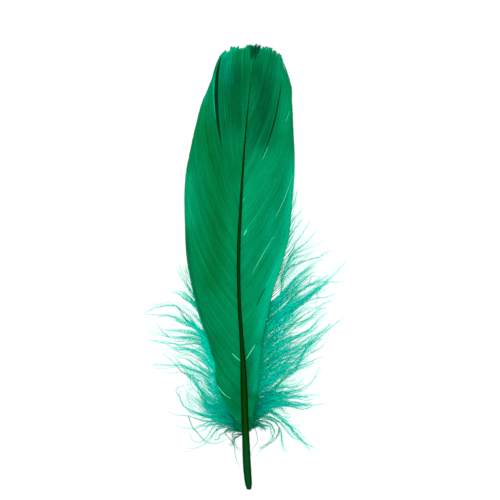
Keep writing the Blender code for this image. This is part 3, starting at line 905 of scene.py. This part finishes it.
def fan_strands(side, barbs, fan, count, colours, random):
    """Loose barbs that fill the fan in small clumps, dense by the vane and thin further out."""
    lines = fan_lines(side, fan)
    crowd = np.array([row[1] for row in fan])
    crowd = running((crowd[1:] + crowd[:-1]) / 2)
    rows = np.arange(len(fan))
    # Loose barbs with roots above the first number are single and nearly straight.
    straight, inner_share = (58, 0.55) if side > 0 else (48, 0.68)
    strands = []
    while len(strands) < count:
        # Every strand of a clump shares its root, reach, waves and tone, within a little.
        clump = np.interp(random.random() * crowd[-1], crowd, rows)
        root = float(np.interp(clump, rows, [row[0] for row in fan]))
        size = 1 if root > straight else int(random.integers(4, 10))
        inner = random.random() < inner_share
        reach = random.uniform(0.3, 0.66) if inner else random.uniform(0.56, 1.04)
        calm = float(np.interp(root, [straight - 12, straight + 6], [1, 0.15]))
        shared = 2.0 * calm * swing(np.linspace(0, 1, FAN_POINTS), 28.0, random)
        spread = random.uniform(0.05, 0.16)
        # The tone moves a strand between the down in painted shade and in the light; inner strands get more
        # painted shade, and strands from the lowest roots are darker.
        tone = random.random() * 0.8 if inner else random.uniform(0.2, 1.0)
        tone *= np.interp(root, [26, 34], [0.5, 1])
        over = root > 22.5 and random.random() < np.interp(root, [30, 46], [0.6, 0.4])
        for _ in range(size):
            line = between_rows(lines, clump + random.normal(0, spread))
            line = line + sideways(line) * shared[:, None]
            line = part_in_sight(side, barbs, line, root, over, random)
            line = line[: max(6, int(len(line) * min(reach * random.uniform(0.86, 1.04), 1)))]
            line = line + sideways(line) * np.linspace(0, random.normal(0, 0.25), len(line))[:, None]
            thin = float(np.interp(root, [50, 66], [1, 0.75]))
            width = (random.uniform(0.9, 1.6) if inner else random.uniform(0.6, 1.4)) * thin
            fluff = np.interp(root, [24, 30], [0.0, 0.7]) if inner else 1.0
            fluff = float(fluff * np.interp(root, [straight - 8, straight + 6], [1, 0.6]))
            own = float(np.clip(tone + random.normal(0, 0.3), 0, 1))
            line = line[:: max(1, len(line) // 9)]
            strands.append(
                loose_strand(side, barbs, line, width, own, colours, random, over, fluff, 0.5 * calm)
            )
    return strands


def lock_strands(side, barbs, locks, colours, random):
    """The locks of loose barbs that stand out, each strand of a lock by itself."""
    strands = []
    for count, width, points in locks:
        line = smooth_line(points, 16)
        if points[0][1] > 26:
            line = past_share(side, barbs, line, 0.88)
        normal = sideways(line)
        for _ in range(count):
            shift = random.normal(0, width * 0.4)
            drift = random.normal(0, width * 0.7)
            own = line + normal * np.linspace(shift, drift, len(line))[:, None]
            if count > 1 and random.random() < 0.5:
                own = own[: int(random.uniform(0.75, 1.0) * len(own)) + 1]
            size = random.uniform(1.2, 1.8)
            # The tone sets how much painted shade this strand has.
            tone = random.uniform(0.2, 1.0)
            strands.append(
                loose_strand(side, barbs, own, size, tone, colours, random, True, 0.5, 1.0)
            )
    return strands


def barb_material(name, roughness, gloss, grain):
    """A dyed barb surface: each barb has its own tone, with a fine grain along it."""
    material = bpy.data.materials.new(name)
    material.use_nodes = True
    tree = material.node_tree
    tree.nodes.clear()
    tone = add_node(tree, "ShaderNodeAttribute", attribute_name="tint")
    place = add_node(tree, "ShaderNodeTexCoord").outputs["Object"]
    # The real grain is near 0.05 mm; at 0.6 mm it still shows from the camera.
    noise = add_node(tree, "ShaderNodeTexNoise", {"Vector": place, "Scale": 1600.0, "Detail": 2.0})
    spread = {0: noise.outputs["Fac"], 1: 0.3, 2: 0.7, 3: 1 - grain, 4: 1 + grain}
    amount = add_node(tree, "ShaderNodeMapRange", spread)
    grey = add_node(tree, "ShaderNodeCombineXYZ", {0: amount, 1: amount, 2: amount})
    dyed = {0: tone.outputs["Color"], 1: grey}
    dyed = add_node(tree, "ShaderNodeVectorMath", dyed, operation="MULTIPLY")
    shader = add_node(
        tree,
        "ShaderNodeBsdfPrincipled",
        {"Base Color": dyed, "Roughness": roughness, "Specular IOR Level": gloss, "IOR": 1.54},
    )
    add_node(tree, "ShaderNodeOutputMaterial", {0: shader})
    return material


def shaft_rings(rings, sides):
    """Points and colours round the quill: round on the calamus, squarer and grooved above it, painted
    lighter on top and darker at the sides.
    """
    colours = bpy.context.scene.feather_colours
    along = np.linspace(0, 1, rings) ** 1.25 * SHAFT_END
    angle = 2 * np.pi * np.arange(sides) / sides
    grown = ramp(along, CALAMUS_END, CALAMUS_END + 20)[:, None]
    power = 2 / (2 + 0.8 * grown)
    across = np.sign(np.cos(angle)) * np.abs(np.cos(angle)) ** power
    up = np.sign(np.sin(angle)) * np.abs(np.sin(angle)) ** power
    up = up + 0.3 * grown * bump(angle - 1.5 * np.pi, 0.25)
    # The calamus has faint rings where its growth paused, and ridges lengthwise.
    pause = 0.012 * np.sin(along * 2.1) * bump(along - 14, 9)
    ridge = 0.012 * np.sin(angle * 7 + 1.0)
    radius = shaft_radius(along)[:, None] * (1 + pause[:, None] + ridge * (1 - grown))
    points = np.stack(
        [
            shaft_offset(along)[:, None] + across * radius,
            np.repeat(along[:, None], sides, axis=1),
            shaft_height(along)[:, None] + up * radius,
        ],
        axis=-1,
    )
    points[0, :, 1] -= END_SLANT * up[0] * radius[0]
    # Painted light and shade on the round quill: the middle of the upper side is a lighter olive stripe of
    # painted highlight between nearly black sides in painted shade.
    stripe = bump(across, 0.5) * (up > 0)
    fade = np.interp(along, [0, 14, 20, 34, 60, 120, 142, 154], [0, 0, 1, 0.9, 0.5, 0.7, 0.4, 0.2])
    rachis = mixed(colours.rachis, colours.rachis_lit_stripe, stripe * fade[:, None])
    # The bare quill too: painted lighter in the middle of its upper side and darker at its sides.
    bare = mixed(colours.calamus_shaded_side, colours.calamus, bump(across, 0.62) * (up > 0))
    whole = np.ones_like(across)
    tint = mixed(bare, rachis, np.interp(along, [15, 24], [0, 1])[:, None] * whole)
    tip = np.interp(along, [138, 152], [0, 0.6])[:, None] * whole
    return points, mixed(tint, np.array(colours.vane) * 0.55, tip)


def build_shaft():
    """The quill: calamus and rachis in one piece, with its mouth at the slanted end."""
    rings, sides = 170, 28
    points, tint = shaft_rings(rings, sides)
    angle = 2 * np.pi * np.arange(sides) / sides
    mouth = []
    for depth, share in ((1.6, 0.45), (0.9, 0.52), (0.15, 0.58), (-0.02, 0.66)):
        size = 0.85 * share
        x = float(shaft_offset(0.0)) + size * np.cos(angle)
        z = float(shaft_height(0.0)) + size * np.sin(angle)
        slant = END_SLANT * size * np.sin(angle)
        mouth.append(np.stack([x, np.full(sides, depth) - slant, z], axis=-1))
    points = np.concatenate([np.array(mouth), points])
    # Painted shade in the hollow mouth: its rings take the end's colour at 0.35 of its brightness.
    tint = np.concatenate([np.repeat(tint[:1] * 0.35, len(mouth), axis=0), tint])
    rows = len(points)
    faces = [tuple(range(sides))]
    for r in range(rows - 1):
        for k in range(sides):
            a, b = r * sides + k, r * sides + (k + 1) % sides
            faces.append((a + sides, b + sides, b, a))
    last = (rows - 1) * sides
    faces.append(tuple(last + k for k in reversed(range(sides))))
    mesh = bpy.data.meshes.new("quill_shaft_detailed")
    mesh.from_pydata([tuple(p) for p in in_frame(points.reshape(-1, 3))], [], faces)
    store_tint(mesh, tint.reshape(-1, 3))
    smooth = np.full(len(mesh.polygons), True)
    smooth[0] = smooth[-1] = False
    mesh.polygons.foreach_set("use_smooth", smooth)
    obj = add_object("quill_shaft_detailed", mesh)
    # Dyed keratin, scraped smooth: dark and faintly waxy, so the quill reads as a solid rod.
    mesh.materials.append(barb_material("dyed_keratin_quill_smooth", 0.5, 0.015, 0.12))
    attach(obj, "root")
    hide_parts("quill_shaft")


def build_vanes():
    """Both vanes, each a sheet of single overlapping barbs."""
    scene = bpy.context.scene
    sizes, colours = scene.feather_sizes, scene.feather_colours
    tree = strand_tree(False)
    inputs = {
        "Width": sizes.barb_width,
        "Thickness": sizes.barb_thickness,
        "Sides": 4,
        "Seed": 1,
        # Dyed barbs zipped side by side: matt with a fine lengthwise grain, like brushed cloth.
        "Material": barb_material("dyed_goose_barbs_matt", 0.65, 0.005, 0.1),
    }
    for name, side, barbs, splits, painted_shading_and_tint, strays, tip, seed in (
        ("vane_left", -1, LEFT_BARBS, LEFT_SPLITS, LEFT_PAINTED_SHADING_AND_TINT, LEFT_STRAYS, LEFT_TIP, 11),
        ("vane_right", 1, RIGHT_BARBS, RIGHT_SPLITS, RIGHT_PAINTED_SHADING_AND_TINT, RIGHT_STRAYS, RIGHT_TIP, 12),
    ):
        random = np.random.default_rng(seed)
        strands = vane_strands(side, barbs, splits, painted_shading_and_tint, sizes, colours, random)
        strands += stray_barbs(side, barbs, strays, sizes, colours)
        strands += tip_barbs(tip, colours, random)
        piece = grow(name + "_barbs", strands, tree, inputs, False)
        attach(piece, "root")
        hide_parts(name)


def build_down():
    """The loose down on both sides: barbs in clumps and locks, with fine barbules."""
    scene = bpy.context.scene
    sizes, colours = scene.feather_sizes, scene.feather_colours
    tree = strand_tree(True)
    inputs = {
        "Width": sizes.strand_width,
        "Thickness": sizes.strand_width * 0.6,
        "Barbule Spacing": sizes.barbule_spacing,
        "Barbule Length": sizes.barbule_length,
        "Barbule Width": sizes.barbule_width,
        "Barbule Colour": (*colours.barbule, 1.0),
        "Sides": 3,
        "Seed": 5,
        # Dyed down, unzipped: matt hair-fine strands whose colour comes from how many cross.
        "Material": barb_material("dyed_goose_down_loose", 0.8, 0.0, 0.05),
    }
    for name, side, barbs, fan, locks, count, seed in (
        ("down_left", -1, LEFT_BARBS, LEFT_FAN, LEFT_LOCKS, sizes.strands_left, 21),
        ("down_right", 1, RIGHT_BARBS, RIGHT_FAN, RIGHT_LOCKS, sizes.strands_right, 22),
    ):
        random = np.random.default_rng(seed)
        fans = fan_strands(side, barbs, fan, count, colours, random)
        lies = lock_strands(side, barbs, locks, colours, random)
        # The fan is in thirds only to keep each piece's mesh a fair size.
        third = len(fans) // 3
        for part, strands in (
            ("_fan_a", fans[:third]),
            ("_fan_b", fans[third : 2 * third]),
            ("_fan_c", fans[2 * third :]),
            ("_locks", lies),
        ):
            piece = grow(name + part, strands, tree, inputs, True)
            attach(piece, "root")
            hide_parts(name)


def area_light(name, place, size, power):
    """A round soft light that points at the feather."""
    light = bpy.data.lights.new(name, "AREA")
    light.shape = "DISK"
    light.size = size
    light.energy = power
    obj = add_object(name, light)
    obj.location = place
    obj.rotation_mode = "QUATERNION"
    obj.rotation_quaternion = (-obj.location).to_track_quat("-Z", "Y")


def build_floor(stage):
    """The white surface under the feather."""
    mesh = bpy.data.meshes.new("floor")
    half = FLOOR_HALF
    corners = [(-half, -half), (half, -half), (half, half), (-half, half)]
    mesh.from_pydata([(x, y, -FLOOR_DROP) for x, y in corners], [], [(0, 1, 2, 3)])
    # Opal panel lit from behind, as on a light table: plain white, with no shadow between strands.
    material = bpy.data.materials.new("opal_panel_backlit_matt")
    material.use_nodes = True
    shader = material.node_tree.nodes["Principled BSDF"]
    shader.inputs["Base Color"].default_value = (*stage.floor, 1.0)
    shader.inputs["Roughness"].default_value = 0.9
    shader.inputs["Specular IOR Level"].default_value = 0.0
    shader.inputs["Emission Color"].default_value = (1.0, 1.0, 1.0, 1.0)
    shader.inputs["Emission Strength"].default_value = stage.glow
    mesh.materials.append(material)
    add_object("floor", mesh)


def build_stage():
    """White floor, soft light and the camera that looks straight down."""
    scene = bpy.context.scene
    stage = scene.feather_stage
    build_floor(stage)
    world = bpy.data.worlds.new("studio")
    world.use_nodes = True
    background = world.node_tree.nodes["Background"]
    background.inputs["Color"].default_value = (1, 1, 1, 1)
    background.inputs["Strength"].default_value = stage.fill
    scene.world = world
    area_light("key", (-0.5, 0.35, 1.1), 0.9, stage.key)
    area_light("counter", (0.6, -0.3, 1.0), 0.9, stage.key * 0.6)
    camera = bpy.data.cameras.new("camera")
    camera.sensor_width = SENSOR
    camera.lens = SENSOR * stage.distance / stage.field
    camera.clip_start, camera.clip_end = 0.05, 10.0
    obj = add_object("camera", camera)
    obj.location = (CAMERA_RIGHT * MM, CAMERA_FORWARD * MM, stage.distance)
    scene.camera = obj
    scene.view_settings.view_transform = "Standard"


def length_property(name, text, size):
    """A length in metres that the panel shows."""
    return FloatProperty(
        name=name, description=text, default=size, min=0.0, unit="LENGTH", subtype="DISTANCE", precision=5
    )


def colour_property(name, text, code):
    """A colour that the panel shows, given as sRGB hex."""
    return FloatVectorProperty(
        name=name, description=text, default=linear(code), size=3, min=0.0, max=1.0, subtype="COLOR"
    )


class FeatherSizes(PropertyGroup):
    barbs: IntProperty(name="Barbs", description="Barbs in each vane", default=430, min=50)
    barb_width: length_property("Barb width", "Width of a barb at its root", 0.42 * MM)
    barb_thickness: length_property("Barb thickness", "Height of a barb's ridge", 0.12 * MM)
    strand_width: length_property("Strand width", "Width of a loose barb", 0.17 * MM)
    barbule_spacing: length_property("Barbule spacing", "Gap between barbules", 0.27 * MM)
    barbule_length: length_property("Barbule length", "Longest barbules", 1.6 * MM)
    barbule_width: length_property("Barbule width", "Radius of a barbule's root", 0.017 * MM)
    strands_left: IntProperty(name="Strands left", description="Loose barbs at the left", default=1180)
    strands_right: IntProperty(name="Strands right", description="Loose barbs at the right", default=1450)


class FeatherColours(PropertyGroup):
    vane: colour_property("Vane", "Dyed barbs of the vanes", "#006A3E")
    # The vane's colour in painted shade, used where the painted patches darken it.
    vane_in_shade: colour_property("Deep", "Vane where it looks darkest and least blue", "#006A2C")
    margin: colour_property("Margin", "Paler barbs at the margin", "#00906F")
    # Painted shade: the colour of barbs in shade, used in splits, on dark single barbs and in the tip fan.
    overlap: colour_property("Overlap", "Barbs in the shade of a split", "#002A17")
    # Painted highlights on single raised barbs; the pale split is also the bare edge of a parted barb.
    pale: colour_property("Pale split", "Bare edge of a parted barb", "#38B88E")
    bare: colour_property("Bare barb", "Barb that catches the light", "#4CD0AC")
    down: colour_property("Down", "Loose down in the light", "#00D8B2")
    down_in_shade: colour_property("Deep down", "Loose down in the shade", "#009266")
    down_root: colour_property("Down root", "Loose down beside the shaft", "#006440")
    down_tip: colour_property("Down tip", "Thin ends of the loose down", "#00DECA")
    # Paler partly for thinness and partly as painted light let through the barbules.
    barbule: colour_property("Barbule", "Hair-fine barbules, which let light through", "#00F2E2")
    # The quill's side colours are painted shade and its middle colours painted light on the round rod.
    rachis: colour_property("Rachis", "Sides of the rachis", "#001800")
    rachis_lit_stripe: colour_property("Rachis middle", "Stripe along the rachis", "#043600")
    calamus: colour_property("Calamus", "Middle of the bare quill", "#003F12")
    calamus_shaded_side: colour_property("Calamus edge", "Sides of the bare quill", "#002409")


class FeatherStage(PropertyGroup):
    floor: colour_property("Floor", "Opal panel under the feather", "#626262")
    glow: FloatProperty(name="Glow", description="Light through the panel", default=0.88, min=0.0)
    fill: FloatProperty(name="Fill", description="Light from all round", default=1.05, min=0.0)
    key: FloatProperty(name="Key", description="Power of the main soft light", default=7.2, unit="POWER")
    distance: length_property("Distance", "Camera above the feather", 1.2)
    field: length_property("Field", "Width that the camera sees", 0.18)


class FEATHER_OT_shaft(Operator):
    """Build the quill shaft"""

    bl_idname = "feather.shaft"
    bl_label = "Quill shaft"

    def execute(self, context):
        build_shaft()
        return {"FINISHED"}


class FEATHER_OT_vanes(Operator):
    """Build both vanes from single barbs"""

    bl_idname = "feather.vanes"
    bl_label = "Vanes"

    def execute(self, context):
        build_vanes()
        return {"FINISHED"}


class FEATHER_OT_down(Operator):
    """Build the loose down at both sides"""

    bl_idname = "feather.down"
    bl_label = "Down"

    def execute(self, context):
        build_down()
        return {"FINISHED"}


class FEATHER_OT_stage(Operator):
    """Set up the floor, the light and the camera"""

    bl_idname = "feather.stage"
    bl_label = "Stage"

    def execute(self, context):
        build_stage()
        return {"FINISHED"}


class FEATHER_PT_panel(Panel):
    """Sizes, colours and build steps of the feather"""

    bl_idname = "FEATHER_PT_panel"
    bl_label = "Goose Quill Feather"
    bl_space_type = "VIEW_3D"
    bl_region_type = "UI"
    bl_category = "Feather"

    def draw(self, context):
        for name in ("feather_sizes", "feather_colours", "feather_stage"):
            group = getattr(context.scene, name)
            box = self.layout.box()
            for key in group.__annotations__:
                box.prop(group, key)
        for step in STEPS:
            self.layout.operator(step)


STEPS = ("feather.shaft", "feather.vanes", "feather.down", "feather.stage")
CLASSES = (
    FeatherSizes,
    FeatherColours,
    FeatherStage,
    FEATHER_OT_shaft,
    FEATHER_OT_vanes,
    FEATHER_OT_down,
    FEATHER_OT_stage,
    FEATHER_PT_panel,
)


def register():
    """Adds the classes and the scene's feather properties."""
    for cls in CLASSES:
        bpy.utils.register_class(cls)
    bpy.types.Scene.feather_sizes = PointerProperty(type=FeatherSizes)
    bpy.types.Scene.feather_colours = PointerProperty(type=FeatherColours)
    bpy.types.Scene.feather_stage = PointerProperty(type=FeatherStage)


def unregister():
    """Takes away what register adds."""
    for name in ("feather_stage", "feather_colours", "feather_sizes"):
        delattr(bpy.types.Scene, name)
    for cls in reversed(CLASSES):
        bpy.utils.unregister_class(cls)


def main():
    """Builds the feather and its stage."""
    register()
    bpy.ops.feather.shaft()
    bpy.ops.feather.vanes()
    bpy.ops.feather.down()
    bpy.ops.feather.stage()


if __name__ == "__main__":
    main()
